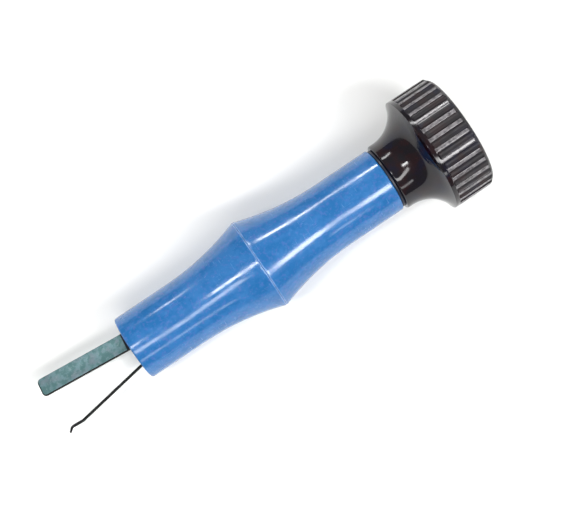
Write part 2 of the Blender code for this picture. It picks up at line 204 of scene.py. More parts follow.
BLADE_CORNER = 1.1 * MM
BLADE_GROUND_FROM = 13.15 * MM
BLADE_BREAK_HEIGHT = 0.2 * MM
BLADE_BREAK = 0.30 * MM
BLADE_FAR_BREAK = 0.05 * MM
PROBE_STRAIGHT = 32.4 * MM
HOOK_BACK_LENGTH = 3.1 * MM
HOOK_BACK_ANGLE = math.radians(-14.0)
HOOK_BACK_ROUNDING = 1.1 * MM
HOOK_TIP_LENGTH = 1.4 * MM
HOOK_TIP_ANGLE = math.radians(33.0)
HOOK_TIP_ROUNDING = 0.8 * MM
HOOK_TAPER_LENGTH = 2.2 * MM
HOOK_TIP_SHARE = 0.7        # the tip's radius, as a share of the wire's

# ---------------------------------------------------------------- mesh helpers

TURN_SEGMENTS = 180
ON_AXIS = 1e-9


def add_mesh(name, bm, place, surface, sharp=40):
    """The bmesh, drawn in the frame place, as an object that is smooth except at sharp edges."""
    bmesh.ops.recalc_face_normals(bm, faces=bm.faces)
    mesh = bpy.data.meshes.new(name)
    bm.to_mesh(mesh)
    bm.free()
    mesh.transform(place)
    mesh.shade_smooth()
    mesh.set_sharp_from_angle(angle=math.radians(sharp))
    made = bpy.data.objects.new(name, mesh)
    bpy.context.scene.collection.objects.link(made)
    made.data.materials.append(surface)
    return made


def join_rings(bm, rings):
    """Quads between each ring of vertices and the next."""
    for a, b in zip(rings, rings[1:]):
        for i in range(len(a)):
            j = (i + 1) % len(a)
            bm.faces.new((a[i], a[j], b[j], b[i]))


def fillets(corners, steps=5):
    """A path through (x, r, fillet) corners, with each corner rounded by its fillet radius."""
    path = []
    for i, (x, r, fillet) in enumerate(corners):
        here = Vector((x, r))
        if fillet == 0:
            path.append(here)
            continue
        before = Vector(corners[i - 1][:2]) - here
        after = Vector(corners[(i + 1) % len(corners)][:2]) - here
        half = before.angle(after) / 2
        setback = min(fillet / math.tan(half), before.length * 0.49, after.length * 0.49)
        radius = setback * math.tan(half)
        start = here + before.normalized() * setback
        end = here + after.normalized() * setback
        middle = (before.normalized() + after.normalized()).normalized()
        centre = here + middle * (radius / math.sin(half))
        first = start - centre
        turn = first.angle_signed(end - centre)
        for k in range(steps + 1):
            angle = -turn * k / steps
            c, s = math.cos(angle), math.sin(angle)
            path.append(centre + Vector((first.x * c - first.y * s, first.x * s + first.y * c)))
    return [(point.x, point.y) for point in path]


def arc(centre_x, centre_r, radius, start_deg, end_deg, steps):
    """Points (x, r) on an arc, both ends included."""
    turns = [math.radians(start_deg + (end_deg - start_deg) * i / steps) for i in range(steps + 1)]
    return [(centre_x + radius * math.cos(turn), centre_r + radius * math.sin(turn)) for turn in turns]


def turned(name, path, surface, segments=TURN_SEGMENTS, shape=None):
    """Path (x, r) turned about the tool's axis: a solid if it starts on the axis, else a closed ring.

    shape(x, r, angle) may change the radius at each point; the angle runs from the lowest line.
    """
    bm = bmesh.new()
    rings = []
    for x, r in path:
        if r < ON_AXIS:
            rings.append([bm.verts.new((x, 0, 0))])
            continue
        ring = []
        for i in range(segments):
            angle = math.tau * i / segments
            radius = shape(x, r, angle) if shape else r
            ring.append(bm.verts.new((x, radius * math.sin(angle), -radius * math.cos(angle))))
        rings.append(ring)
    pairs = list(zip(rings, rings[1:]))
    if path[0][1] > ON_AXIS:
        pairs.append((rings[-1], rings[0]))
    for a, b in pairs:
        for i in range(segments):
            j = (i + 1) % segments
            quad = [a[i % len(a)], a[j % len(a)], b[j % len(b)], b[i % len(b)]]
            corners = list(dict.fromkeys(quad))
            if len(corners) > 2:
                bm.faces.new(corners)
    return add_mesh(name, bm, TOOL, surface)


# ---------------------------------------------------------------- materials

BLUE = (0.024, 0.152, 0.400)
BLUE_DEEP = (0.008, 0.122, 0.345)
BLUE_PALE = (0.10, 0.25, 0.53)
BLUE_VIOLET = (0.060, 0.135, 0.400)
# CREST_PALE: pale of the ridge line, partly wear and partly painted highlight
CREST_PALE = (0.20, 0.34, 0.62)
BLACK = (0.0025, 0.0010, 0.0035)
BLACK_WARM = (0.009, 0.0005, 0.002)
BLACK_COOL = (0.0015, 0.0008, 0.010)
# LAND_GREY: grey of the knob's lands, partly wear and partly painted highlight
LAND_GREY = (0.21, 0.20, 0.21)
STEEL_GREEN = (0.150, 0.255, 0.280)
STEEL_GREEN_DARK = (0.085, 0.180, 0.185)
STEEL_STAIN = (0.170, 0.205, 0.245)
STEEL_PALE = (0.24, 0.33, 0.34)
# painted shade on the blade's root
ROOT_SHADE_DARK = (0.004, 0.004, 0.012)
EDGE_DARK = (0.004, 0.005, 0.005)
EDGE_WORN = (0.02, 0.024, 0.024)
WIRE_BLACK = (0.002, 0.002, 0.003)
WIRE_WORN = (0.018, 0.016, 0.016)
WASHER_DARK = (0.004, 0.005, 0.012)
WASHER_BLUE = (0.008, 0.010, 0.030)
STEEL = (0.46, 0.47, 0.48)
STEEL_DIM = (0.28, 0.29, 0.30)
COLLET_STEEL = (0.30, 0.31, 0.32)
COLLET_DIM = (0.16, 0.17, 0.18)
BRASS = (0.66, 0.50, 0.20)
BRASS_DIM = (0.42, 0.30, 0.11)
FLOOR_PALE = (0.90, 0.90, 0.885)
FLOOR_DIM = (0.885, 0.89, 0.88)


class Surface:
    """A Principled material that is put together node by node. Noise scales are per metre."""

    def __init__(self, name, colour, roughness, metallic=0.0, place=None, **shader_values):
        self.material = bpy.data.materials.new(name)
        self.material.use_nodes = True
        self.tree = self.material.node_tree
        self.shader = self.tree.nodes["Principled BSDF"]
        self.shader.inputs["Base Color"].default_value = (*colour, 1)
        self.shader.inputs["Roughness"].default_value = roughness
        self.shader.inputs["Metallic"].default_value = metallic
        for socket, value in shader_values.items():
            self.shader.inputs[socket.replace("_", " ")].default_value = value
        self.place = self.seen_from(place or TOOL)

    def node(self, kind, **settings):
        made = self.tree.nodes.new(kind)
        for key, value in settings.items():
            setattr(made, key, value)
        return made

    def seen_from(self, place):
        """Object coordinates as they are in the frame place."""
        inside = self.node("ShaderNodeMapping", vector_type="TEXTURE")
        self.feed(inside.inputs["Vector"], self.node("ShaderNodeTexCoord").outputs["Object"])
        inside.inputs["Location"].default_value = place.translation
        inside.inputs["Rotation"].default_value = place.to_euler()
        return inside.outputs["Vector"]

    def feed(self, socket, value):
        """A node's output is linked to the socket, and a plain value is set on it."""
        if isinstance(value, bpy.types.NodeSocket):
            self.tree.links.new(value, socket)
        else:
            socket.default_value = value

    def stretched(self, scale):
        """The place multiplied by scale, per metre along the piece, across it and up."""
        mapping = self.node("ShaderNodeMapping")
        self.feed(mapping.inputs["Vector"], self.place)
        mapping.inputs["Scale"].default_value = scale
        return mapping.outputs["Vector"]

    def noise(self, scale, detail=3.0, where=None):
        made = self.node("ShaderNodeTexNoise")
        self.feed(made.inputs["Vector"], where or self.place)
        made.inputs["Scale"].default_value = scale
        made.inputs["Detail"].default_value = detail
        return made.outputs["Fac"]

    def ramp(self, value, low, high, start=0.0, end=1.0):
        """start where value is at low, end where it is at high, smooth between and constant beyond."""
        made = self.node("ShaderNodeMapRange", interpolation_type="SMOOTHSTEP")
        for socket, number in zip(made.inputs, (value, low, high, start, end)):
            self.feed(socket, number)
        return made.outputs["Result"]

    def math(self, operation, a, b=0.0):
        made = self.node("ShaderNodeMath", operation=operation)
        self.feed(made.inputs[0], a)
        self.feed(made.inputs[1], b)
        return made.outputs[0]

    def mix(self, amount, a, b):
        """Colour a where amount is 0 and b where it is 1."""
        made = self.node("ShaderNodeMix", data_type="RGBA")
        self.feed(made.inputs[0], amount)
        self.feed(made.inputs[6], a if isinstance(a, bpy.types.NodeSocket) else (*a, 1))
        self.feed(made.inputs[7], b if isinstance(b, bpy.types.NodeSocket) else (*b, 1))
        return made.outputs[2]

    def along(self):
        """The place as (x, y, z) outputs."""
        made = self.node("ShaderNodeSeparateXYZ")
        self.feed(made.inputs[0], self.place)
        return made.outputs

    def radius(self):
        """Distance from the tool's axis."""
        x, y, z = self.along()
        squares = self.math("ADD", self.math("MULTIPLY", y, y), self.math("MULTIPLY", z, z))
        return self.math("SQRT", squares)

    def line(self, value, centre, half_width, soft):
        """1 within half_width of centre, fading to 0 over soft."""
        distance = self.math("ABSOLUTE", self.math("SUBTRACT", value, centre))
        return self.ramp(distance, half_width, half_width + soft, 1.0, 0.0)

    def colour(self, value):
        self.feed(self.shader.inputs["Base Color"], value)

    def roughness(self, value):
        self.feed(self.shader.inputs["Roughness"], value)

    def bump(self, *layers):
        """Layers of (height value, depth in metres), one Bump node after another."""
        normal = None
        for height, depth in layers:
            made = self.node("ShaderNodeBump")
            made.inputs["Strength"].default_value = 1.0
            made.inputs["Distance"].default_value = depth
            self.feed(made.inputs["Height"], height)
            if normal:
                self.feed(made.inputs["Normal"], normal)
            normal = made.outputs["Normal"]
        self.feed(self.shader.inputs["Normal"], normal)


def scratches(surface, scale, threshold):
    """Thin lines where a strongly stretched noise peaks, in some patches only."""
    lines = surface.ramp(surface.noise(1.0, 2.0, surface.stretched(scale)), threshold, threshold + 0.03)
    patches = surface.ramp(surface.noise(130.0, 2.0), 0.5, 0.6)
    return surface.math("MULTIPLY", lines, patches)


def blue_moulding():
    """Glossy mottled plastic, pale along the ridge as wear and painted highlight, rubbed pale at its ends and
    in fine scratches.
    """
    s = Surface("blue_moulding", BLUE, roughness=0.2, IOR=1.56)
    clouds = s.noise(160.0, 4.0)
    mottles = s.math("MULTIPLY", s.noise(620.0, 3.0), 0.8)
    base = s.mix(s.ramp(s.math("ADD", clouds, mottles), 0.7, 1.1), BLUE_DEEP, BLUE)
    tinges = s.ramp(s.noise(1100.0, 2.0), 0.52, 0.68, 0.0, 0.6)
    base = s.mix(tinges, base, BLUE_VIOLET)
    specks = s.ramp(s.noise(1500.0, 2.0), 0.55, 0.75, 0.0, 0.20)
    base = s.mix(specks, base, BLUE_PALE)

    x = s.along()[0]
    # painted highlight: a pale line along the ridge, partly wear of the crest and partly the highlight its
    # rounded edge catches
    crest = s.line(x, RIDGE_X, 0.10 * MM, 0.30 * MM)
    wear_and_sheen_patches = s.ramp(s.noise(500.0, 3.0), 0.25, 0.6, 0.35, 1.0)
    base = s.mix(s.math("MULTIPLY", crest, wear_and_sheen_patches), base, CREST_PALE)
    nose_end = s.line(x, 0.0, 0.05 * MM, 0.45 * MM)
    knob_end = s.line(x, HANDLE_LENGTH, 0.05 * MM, 0.45 * MM)
    chafe = s.ramp(s.noise(700.0), 0.4, 0.7, 0.0, 0.45)
    base = s.mix(s.math("MULTIPLY", s.math("MAXIMUM", nose_end, knob_end), chafe), base, BLUE_PALE)

    lengthwise = scratches(s, (90.0, 5200.0, 5200.0), 0.66)
    crossing = scratches(s, (5200.0, 300.0, 300.0), 0.68)
    marks = s.math("MAXIMUM", lengthwise, crossing)
    s.colour(s.mix(s.math("MULTIPLY", marks, 0.22), base, BLUE_PALE))
    smudges = s.ramp(s.noise(210.0, 4.0), 0.35, 0.7, 0.13, 0.23)
    s.roughness(s.math("ADD", smudges, s.math("MULTIPLY", marks, 0.18)))
    s.bump((s.noise(900.0, 2.0), 0.012 * MM), (marks, -0.004 * MM))
    return s.material


def black_phenolic():
    """Polished black with warm and cool tinges, matt in the flutes, and grey on their lands, partly wear and
    partly painted highlight.
    """
    s = Surface("black_phenolic", BLACK, roughness=0.1, IOR=1.5)
    warm = s.ramp(s.noise(260.0, 3.0), 0.42, 0.62)
    cool = s.ramp(s.noise(190.0, 3.0), 0.50, 0.66)
    base = s.mix(cool, s.mix(warm, BLACK, BLACK_WARM), BLACK_COOL)

    x = s.along()[0]
    out = s.radius()
    past_lip = s.ramp(x, LIP_END, LIP_END + 0.3 * MM)
    before_end = s.ramp(x, KNOB_END - RIM_CHAMFER, KNOB_END, 1.0, 0.4)
    on_rim = s.math("MULTIPLY", past_lip, before_end)
    on_lands = s.ramp(out, RIM_RADIUS - 0.10 * MM, RIM_RADIUS - 0.04 * MM)
    below_lands = s.ramp(out, RIM_RADIUS - 0.30 * MM, RIM_RADIUS - 0.12 * MM, 1.0, 0.0)
    # painted highlight: the lands are greyed in patches, partly as wear and partly standing in for the light
    # lines along them
    wear_and_sheen_patches = s.ramp(s.noise(1100.0, 4.0), 0.3, 0.65, 0.35, 1.0)
    land_wear_and_sheen = s.math("MULTIPLY", s.math("MULTIPLY", on_rim, on_lands), wear_and_sheen_patches)
    in_flutes = s.math("MULTIPLY", on_rim, below_lands)
    s.colour(s.mix(land_wear_and_sheen, base, LAND_GREY))

    polish = s.ramp(s.noise(320.0, 4.0), 0.35, 0.7, 0.06, 0.15)
    matt = s.math("ADD", s.math("MULTIPLY", land_wear_and_sheen, 0.14), s.math("MULTIPLY", in_flutes, 0.5))
    s.roughness(s.math("ADD", polish, matt))
    s.bump((s.noise(700.0, 2.0), 0.008 * MM), (s.noise(4000.0, 2.0), 0.001 * MM))
    return s.material


def turned_metal(name, colour, dark, roughness):
    """Turned metal: fine rings round the axis, on faces and along the outside."""
    s = Surface(name, colour, roughness, metallic=1.0)
    rings = s.node("ShaderNodeCombineXYZ")
    s.feed(rings.inputs[0], s.along()[0])
    s.feed(rings.inputs[1], s.radius())
    grooves = s.noise(3500.0, 2.0, rings.outputs[0])
    stains = s.noise(350.0, 4.0)
    s.colour(s.mix(s.ramp(stains, 0.35, 0.75), dark, colour))
    grain = s.ramp(grooves, 0.3, 0.7, roughness - 0.06, roughness + 0.08)
    s.roughness(s.math("ADD", grain, s.ramp(stains, 0.6, 0.3, 0.0, 0.12)))
    s.bump((grooves, 0.006 * MM))
    return s.material


def blade_steel():
    """Grey-green steel, blotched and finely ground across, with a band of painted shade at its root, from
    just outside the nose's end on into the jaws.
    """
    s = Surface("blade_steel", STEEL_GREEN, roughness=0.42, metallic=0.55, place=BLADE)
    grind = s.noise(1.0, 3.0, s.stretched((6500.0, 260.0, 260.0)))
    clouds = s.noise(420.0, 4.0)
    base = s.mix(s.ramp(s.noise(850.0, 3.0), 0.38, 0.60), STEEL_GREEN_DARK, STEEL_GREEN)
    base = s.mix(s.ramp(clouds, 0.50, 0.68, 0.0, 0.7), base, STEEL_STAIN)
    base = s.mix(s.ramp(s.noise(1900.0, 3.0), 0.58, 0.72, 0.0, 0.6), base, STEEL_GREEN_DARK)
    base = s.mix(s.ramp(s.noise(1500.0, 3.0), 0.56, 0.70, 0.0, 0.5), base, STEEL_PALE)
    base = s.mix(s.ramp(grind, 0.3, 0.7, 0.0, 0.15), base, STEEL_GREEN_DARK)
    # painted shade: a dark band on the blade from just outside the nose's end on into the jaws
    root_shade = s.ramp(s.along()[0], -BLADE_GROUND_FROM - 0.25 * MM, -BLADE_GROUND_FROM - 0.1 * MM)
    s.colour(s.mix(root_shade, base, ROOT_SHADE_DARK))
    grain = s.ramp(grind, 0.3, 0.7, 0.36, 0.48)
    s.roughness(s.math("ADD", grain, s.ramp(clouds, 0.5, 0.8, 0.0, 0.12)))
    s.bump((grind, 0.006 * MM), (clouds, 0.006 * MM))
    return s.material


def blade_edge():
    """Black sides of the strip, worn in patches."""
    s = Surface("blade_edge", EDGE_DARK, roughness=0.6, place=BLADE, IOR=1.3)
    patches = s.noise(900.0, 3.0)
    s.colour(s.mix(s.ramp(patches, 0.55, 0.75, 0.0, 0.5), EDGE_DARK, EDGE_WORN))
    s.roughness(s.ramp(patches, 0.3, 0.7, 0.38, 0.55))
    s.bump((patches, 0.004 * MM))
    return s.material


def probe_wire():
    """Black drawn wire with worn patches and draw lines along it."""
    s = Surface("probe_wire", WIRE_BLACK, roughness=0.45, place=PROBE, IOR=1.3)
    patches = s.noise(800.0, 4.0)
    drawn = s.noise(1.0, 2.0, s.stretched((120.0, 6000.0, 6000.0)))
    s.colour(s.mix(s.ramp(patches, 0.5, 0.72, 0.0, 0.6), WIRE_BLACK, WIRE_WORN))
    s.roughness(s.ramp(patches, 0.3, 0.7, 0.30, 0.5))
    s.bump((drawn, 0.004 * MM), (patches, 0.004 * MM))
    return s.material


def dark_washer():
    """Blue-black washer with soft clouds."""
    s = Surface("dark_washer", WASHER_DARK, roughness=0.4)
    clouds = s.noise(500.0, 4.0)
    s.colour(s.mix(s.ramp(clouds, 0.4, 0.7), WASHER_DARK, WASHER_BLUE))
    s.roughness(s.ramp(clouds, 0.3, 0.7, 0.32, 0.5))
    s.bump((s.noise(1600.0, 2.0), 0.005 * MM))
    return s.material


def pale_floor():
    s = Surface("pale_floor", FLOOR_PALE, roughness=0.6)
    s.colour(s.mix(s.ramp(s.noise(6.0), 0.3, 0.7), FLOOR_PALE, FLOOR_DIM))
    return s.material


blue = blue_moulding()
phenolic = black_phenolic()
washer_surface = dark_washer()
steel = turned_metal("turned_steel", STEEL, STEEL_DIM, 0.28)
collet_surface = turned_metal("collet_steel", COLLET_STEEL, COLLET_DIM, 0.34)
brass = turned_metal("turned_brass", BRASS, BRASS_DIM, 0.30)
blade_surface = blade_steel()
edge_surface = blade_edge()
wire_surface = probe_wire()

# ---------------------------------------------------------------- the handle


def grip_flare(crest_x, steps=28):
    """Outer corners of half the grip, from where it starts to swell up to just before the ridge."""
    rise = RIDGE_RADIUS - END_RADIUS
    radius = (FLARE_LENGTH**2 + rise**2) / (2 * rise)
    points = []
    for i in range(steps):
        along = FLARE_LENGTH * i / steps
        lift = radius - math.sqrt(radius**2 - along**2)
        points.append((crest_x - FLARE_LENGTH + along, END_RADIUS + lift, 0))
    return points


def grip_half(seat_depth, joint_radius, joint_x):
    """Outline of half the grip, with its end at 0: outside up to the ridge, then back along its bores."""
    crest_x = RIDGE_X - JOINT_HALF_GAP
    corners = [(0, SEAT_RADIUS, 0.12 * MM), (0, END_RADIUS, 0.5 * MM)] + grip_flare(crest_x)
    corners += [
        (crest_x, RIDGE_RADIUS, 0.22 * MM),
        (crest_x, joint_radius, 0),
        (joint_x, joint_radius, 0.2 * MM),
        (joint_x, GRIP_BORE, 0.2 * MM),
        (seat_depth, GRIP_BORE, 0),
        (seat_depth, SEAT_RADIUS, 0),
    ]
    return fillets(corners)


def make_grip():
    """Both halves; the front one's spigot enters the rear one's socket."""
    front = turned("grip_front", grip_half(SLEEVE_SEAT_DEPTH, SPIGOT_RADIUS, RIDGE_X + SPIGOT_LENGTH), blue)
    outline = grip_half(FLANGE_SEAT_DEPTH, SOCKET_RADIUS, RIDGE_X - SOCKET_DEPTH)
    rear = turned("grip_rear", [(HANDLE_LENGTH - x, r) for x, r in outline], blue)
    for piece, node in ((front, "front_handle"), (rear, "rear_handle")):
        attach(piece, "handle")
        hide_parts(node)


def make_washer():
    low, high = span("thrust_washer", TOOL)
    outer = reach("thrust_washer")
    corners = [
        (low.x, WASHER_BORE, 0.1 * MM),
        (low.x, outer, 0.18 * MM),
        (high.x, outer, 0.18 * MM),
        (high.x, WASHER_BORE, 0.1 * MM),
    ]
    piece = turned("knob_washer", fillets(corners), washer_surface)
    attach(piece, "handle")
    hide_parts("thrust_washer")


# ---------------------------------------------------------------- the knob

POINTS_PER_FLUTE = 16
LIP_STEP = 0.1 * MM
LAST_RIM_STEP = 0.3 * MM
CHAMFER_STEPS = 14
CHAMFER_SHARE = 0.97        # where the chamfer's own points end, just short of its corner


def flute_depth(angle):
    """How deep the flutes cut at this angle: round valleys between narrow lands with soft edges."""
    turn = (angle * FLUTE_COUNT / math.tau) % 1.0 - 0.5
    inside = max(0.0, 1 - (turn / FLUTE_HALF_WIDTH) ** 2)
    return FLUTE_DEPTH * inside**FLUTE_FULLNESS


def knob_radius(x, r, angle):
    """Turned outline of the knob cut by the flutes, which run out through the end chamfer."""
    if x < LIP_END or r < RIM_RADIUS - FLUTE_DEPTH - RIM_CHAMFER:
        return r
    run_in = min(1.0, (x - LIP_END) / FLUTE_RUN_IN)
    run_in = run_in * run_in * (3 - 2 * run_in)
    fluted = RIM_RADIUS - flute_depth(angle) * run_in
    blend = FLUTE_BLEND * run_in
    gap = r - fluted
    return (r + fluted - math.sqrt(gap * gap + blend * blend)) / 2


def knob_flare():
    """Outer corners from the neck's end up the concave flare."""
    lift = RIM_RADIUS - RIM_ROUNDING - NECK_RADIUS
    end_deg = -90 + math.degrees(math.acos(1 - lift / KNOB_FLARE_ARC))
    flare = arc(NECK_END, NECK_RADIUS + KNOB_FLARE_ARC, KNOB_FLARE_ARC, -90, end_deg, 28)
    return [(x, r, 0) for x, r in flare]


def knob_rim():
    """Corners along the rim: close together where the flutes run in, and down the chamfer."""
    chamfer_x = KNOB_END - RIM_CHAMFER
    rim = [(LIP_END + LIP_STEP * i, RIM_RADIUS, 0) for i in range(-1, 7)]
    rim += [(chamfer_x - LAST_RIM_STEP * i, RIM_RADIUS, 0) for i in range(6, 0, -1)]
    for i in range(CHAMFER_STEPS + 1):
        down = RIM_CHAMFER * CHAMFER_SHARE * i / CHAMFER_STEPS
        rim.append((chamfer_x + down, RIM_RADIUS - down, 0))
    return rim


def make_knob():
    flare = knob_flare()
    corners = [
        (KNOB_BORE_END, 0, 0),
        (KNOB_BORE_END, KNOB_BORE, 0),
        (KNOB_START, KNOB_BORE, 0.1 * MM),
        (KNOB_START, NECK_RADIUS, 0.45 * MM),
    ]
    corners += flare + [(flare[-1][0] + 0.05 * MM, RIM_RADIUS, RIM_ROUNDING)] + knob_rim()
    corners += [
        (KNOB_END, RIM_RADIUS - RIM_CHAMFER, 0.06 * MM),
        (KNOB_END, FACE_GROOVE_OUTER, 0.12 * MM),
        (KNOB_END - FACE_GROOVE_DEPTH, FACE_GROOVE_OUTER - FACE_GROOVE_SIDE, 0.2 * MM),
        (KNOB_END - FACE_GROOVE_DEPTH, FACE_GROOVE_INNER + FACE_GROOVE_SIDE, 0.2 * MM),
        (KNOB_END, FACE_GROOVE_INNER, 0.12 * MM),
        (KNOB_END, FACE_MARK_RADIUS, 0.05 * MM),
        (KNOB_END - FACE_MARK_DEPTH, FACE_MARK_RADIUS - FACE_MARK_DEPTH, 0.05 * MM),
        (KNOB_END - FACE_MARK_DEPTH, 0, 0),
    ]
    piece = turned("fluted_knob", fillets(corners), phenolic, FLUTE_COUNT * POINTS_PER_FLUTE, knob_radius)
    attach(piece, "knob")
    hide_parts("knob")


# ---------------------------------------------------------------- the clamp in the nose

CUT_EXTRA = 1.0 * MM        # how far a cutter runs past the surface that it opens
COLLET_SHARP_DEG = 30
HOLE_SIDES = 24


def make_sleeve():
    low, high = span("nose_sleeve", TOOL)
    corners = [
        (low.x, SLEEVE_MOUTH, 0.12 * MM),
        (low.x, SLEEVE_RADIUS, 0.15 * MM),
        (high.x, SLEEVE_RADIUS, 0.15 * MM),
        (high.x, SLEEVE_WAIST, 0.1 * MM),
        (high.x - SLEEVE_WAIST_LENGTH, SLEEVE_WAIST, 0),
    ]
    piece = turned("taper_sleeve", fillets(corners), steel)
    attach(piece, "handle")
    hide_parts("nose_sleeve")


def prism(outline, start, end, place):
    """A closed (x, z) outline drawn along y from start to end, in the frame place, to cut the collet with."""
    bm = bmesh.new()
    near = [bm.verts.new((x, start, z)) for x, z in outline]
    far = [bm.verts.new((x, end, z)) for x, z in outline]
    bm.faces.new(near)
    bm.faces.new(far)
    join_rings(bm, [near, far])
    return add_mesh("cutter", bm, place, collet_surface)


def cut(piece, cutter):
    """Takes the cutter's shape out of the piece's mesh and removes the cutter."""
    modifier = piece.modifiers.new("cut", "BOOLEAN")
    modifier.operation = "DIFFERENCE"
    modifier.solver = "EXACT"
    modifier.object = cutter
    bpy.context.view_layer.update()
    graph = bpy.context.evaluated_depsgraph_get()
    mesh = bpy.data.meshes.new_from_object(piece.evaluated_get(graph))
    piece.modifiers.clear()
    piece.data = mesh
    bpy.data.objects.remove(cutter, do_unlink=True)


def slit_cutter():
    """A slab with a chamfered mouth and a round bottom, in the plane in which the blade lies."""
    face = span("collet", TOOL)[0].x
    mouth = SLIT_HALF_WIDTH + SLIT_LEAD + CUT_EXTRA
    upper = [(face - CUT_EXTRA, mouth), (face + SLIT_LEAD, SLIT_HALF_WIDTH)]
    bottom = arc(SLIT_END - SLIT_HALF_WIDTH, 0, SLIT_HALF_WIDTH, 90, -90, 20)
    lower = [(x, -z) for x, z in reversed(upper)]
    roll = CLAMP_UP.angle(TOOL.col[2].to_3d())
    across = SLEEVE_RADIUS + 2 * CUT_EXTRA
    return prism(upper + bottom + lower, -across, across, TOOL @ Matrix.Rotation(-roll, 4, "X"))


def keyway_cutter():
    """The slot in the collet's tail that the key pin stands in while the collet slides."""
    low, high = span("key_pin", TOOL)
    radius = (high.x - low.x) / 2 + RUNNING_GAP
    key_x = (low.x + high.x) / 2
    outline = arc(key_x, 0, radius, 90, 270, 12) + arc(key_x + DRAW_TRAVEL, 0, radius, -90, 90, 12)
    upright = TOOL @ Matrix.Rotation(math.radians(90), 4, "X")
    return prism(outline, low.z - KEY_TIP_GAP, high.z, upright)


def cross_hole_cutter():
    """The hole for the pin that holds the draw bar in the collet's tail."""
    low, high = span("collet_pin", TOOL)
    radius = (high.x - low.x) / 2 + RUNNING_GAP
    outline = arc((low.x + high.x) / 2, 0, radius, 0, 360 - 360 / HOLE_SIDES, HOLE_SIDES - 1)
    across = COLLET_TAIL + CUT_EXTRA
    return prism(outline, -across, across, TOOL)


def make_collet():
    low, high = span("collet", TOOL)
    corners = [
        (low.x, 0, 0),
        (low.x, COLLET_MOUTH, 0.2 * MM),
        (COLLET_TAPER_END, COLLET_WAIST, 0.3 * MM),
        (COLLET_TAIL_START, COLLET_TAIL, 0.2 * MM),
        (high.x, COLLET_TAIL, 0.25 * MM),
        (high.x, COLLET_TAIL_BORE, 0.1 * MM),
        (COLLET_BORE_START, COLLET_TAIL_BORE, 0.1 * MM),
        (COLLET_BORE_START, 0, 0),
    ]
    piece = turned("slit_collet", fillets(corners), collet_surface)
    cut(piece, slit_cutter())
    cut(piece, keyway_cutter())
    cut(piece, cross_hole_cutter())
    piece.data.shade_smooth()
    piece.data.set_sharp_from_angle(angle=math.radians(COLLET_SHARP_DEG))
    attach(piece, "draw")
    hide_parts("collet")


# ---------------------------------------------------------------- the blade

BREAK_STEPS = 4
FLAT_COSINE = 0.9999        # a face that leans further than this from the flat belongs to the sides


def tip_corner(centre_y, start_deg, inset_from, inset_to, steps=14):
    """A quarter turn round a corner of the tip, drawn in by an inset that changes on the way."""
    points = []
    for i in range(steps + 1):
        angle = math.radians(start_deg + 90 * i / steps)
        radius = BLADE_CORNER - inset_from - (inset_to - inset_from) * i / steps
        x = BLADE_CORNER - BLADE_LENGTH + radius * math.cos(angle)
        points.append((x, centre_y + radius * math.sin(angle)))
    return points


def blade_outline(inset, wire_inset):
    """The strip's outline, drawn in by wire_inset at the tip and on the probe's side, by inset elsewhere."""
    half = BLADE_WIDTH / 2
    along = [-BLADE_LENGTH * i / 8 for i in range(1, 7)]
    points = [(-inset, wire_inset - half), (-inset, half - inset)]
    points += [(x, half - inset) for x in along]
    points += tip_corner(half - BLADE_CORNER, 90, inset, wire_inset)
    points += tip_corner(BLADE_CORNER - half, 180, wire_inset, wire_inset)
    points += [(x, wire_inset - half) for x in reversed(along)]
    return points


def make_blade():
    """Flat strip with a broken edge on the probe's side and round the tip; its sides are another surface."""
    upper = []
    for k in range(BREAK_STEPS + 1):
        angle = math.radians(90 * k / BREAK_STEPS)
        height = BLADE_THICKNESS / 2 - BLADE_BREAK_HEIGHT * (1 - math.sin(angle))
        drawn_in = 1 - math.cos(angle)
        upper.append((height, blade_outline(BLADE_FAR_BREAK * drawn_in, BLADE_BREAK * drawn_in)))
    layers = [(-z, outline) for z, outline in reversed(upper)] + upper
    bm = bmesh.new()
    rings = [[bm.verts.new((x, y, z)) for x, y in outline] for z, outline in layers]
    join_rings(bm, rings)
    bm.faces.new(rings[0])
    bm.faces.new(rings[-1])
    piece = add_mesh("spudger_blade", bm, BLADE, blade_surface, 50)
    piece.data.materials.append(edge_surface)
    for face in piece.data.polygons:
        if abs(face.normal.dot(CLAMP_UP)) < FLAT_COSINE:
            face.material_index = 1
    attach(piece, "blade")
    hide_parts("blade")


# ---------------------------------------------------------------- the probe

WIRE_SIDES = 20
ROUTE_STEP = 0.6 * MM
CAP_STEPS = 4
CAP_HEIGHT = 0.7            # of the wire's radius


def probe_route():
    """Middle line of the wire in its own frame: straight, then two short bends, each rounded."""
    back_x = -PROBE_STRAIGHT - HOOK_BACK_LENGTH * math.cos(HOOK_BACK_ANGLE)
    back_y = -HOOK_BACK_LENGTH * math.sin(HOOK_BACK_ANGLE)
    tip_x = back_x - HOOK_TIP_LENGTH * math.cos(HOOK_TIP_ANGLE)
    tip_y = back_y - HOOK_TIP_LENGTH * math.sin(HOOK_TIP_ANGLE)
    corners = [
        (0.0, 0.0, 0),
        (-PROBE_STRAIGHT, 0.0, HOOK_BACK_ROUNDING),
        (back_x, back_y, HOOK_TIP_ROUNDING),
        (tip_x, tip_y, 0),
    ]
    route = [Vector((x, y, 0)) for x, y in fillets(corners, 8)]
    dense = []
    for a, b in zip(route, route[1:]):
        pieces = max(1, int((b - a).length / ROUTE_STEP))
        dense += [a.lerp(b, k / pieces) for k in range(pieces)]
    return dense + [route[-1]]


def cap(bm, ring, centre, outward):
    """Rounds off a tube's end."""
    radius = (ring[0].co - centre).length
    rim = [vert.co - centre for vert in ring]
    rings = [ring]
    for step in range(1, CAP_STEPS):
        angle = math.radians(90 * step / CAP_STEPS)
        lift = outward * radius * CAP_HEIGHT * math.sin(angle)
        rings.append([bm.verts.new(centre + offset * math.cos(angle) + lift) for offset in rim])
    join_rings(bm, rings)
    bm.faces.new(rings[-1])


